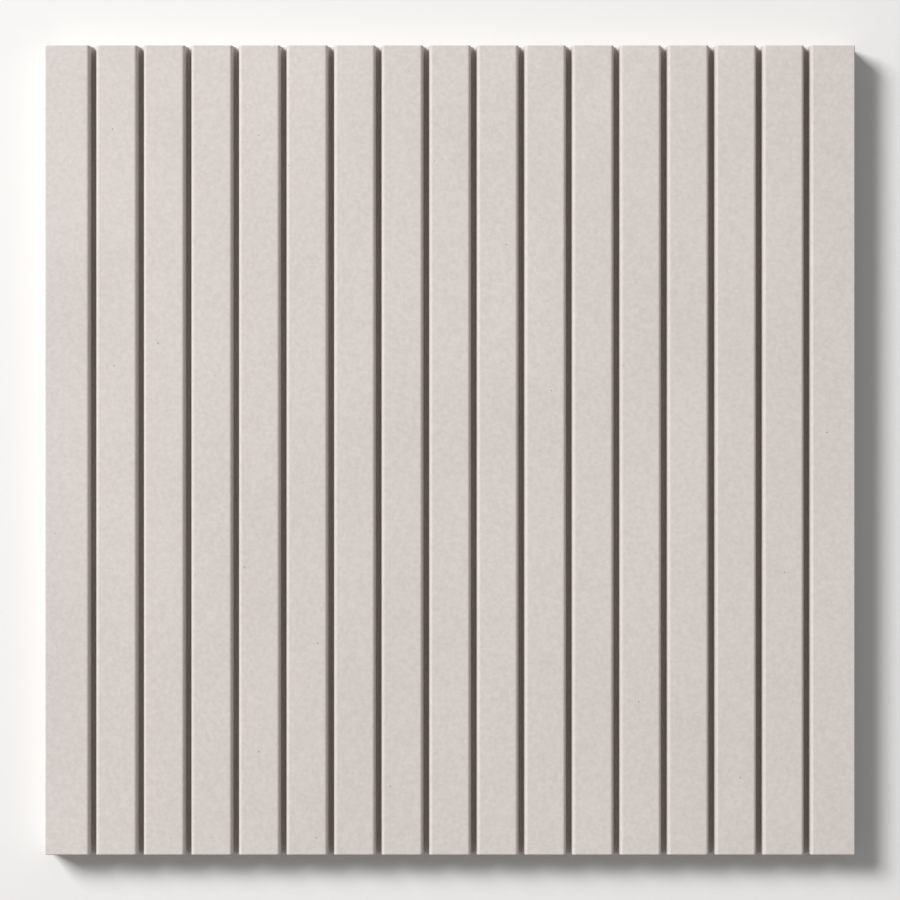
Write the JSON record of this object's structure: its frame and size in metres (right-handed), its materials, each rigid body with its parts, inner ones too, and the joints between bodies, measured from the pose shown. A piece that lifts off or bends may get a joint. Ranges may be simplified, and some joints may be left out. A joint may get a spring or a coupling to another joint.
{
  "type": "plaster wall panel",
  "caption": "Square cast plaster wall panel with a flat back and a face of straight, equal ribs that run out at two edges, laid edge to edge with quarter turns.",
  "frame": {"origin": "centre of the flat back face, which lies on the floor", "axes": "+Z out of the ribbed face, +Y along the ribs, +X across the ribs"},
  "size_m": [0.5, 0.5, 0.024],
  "materials": {
    "plaster": "matte"
  },
  "bodies": {
    "root": {"ribbed_panel": "plaster"}
  },
  "joints": []
}
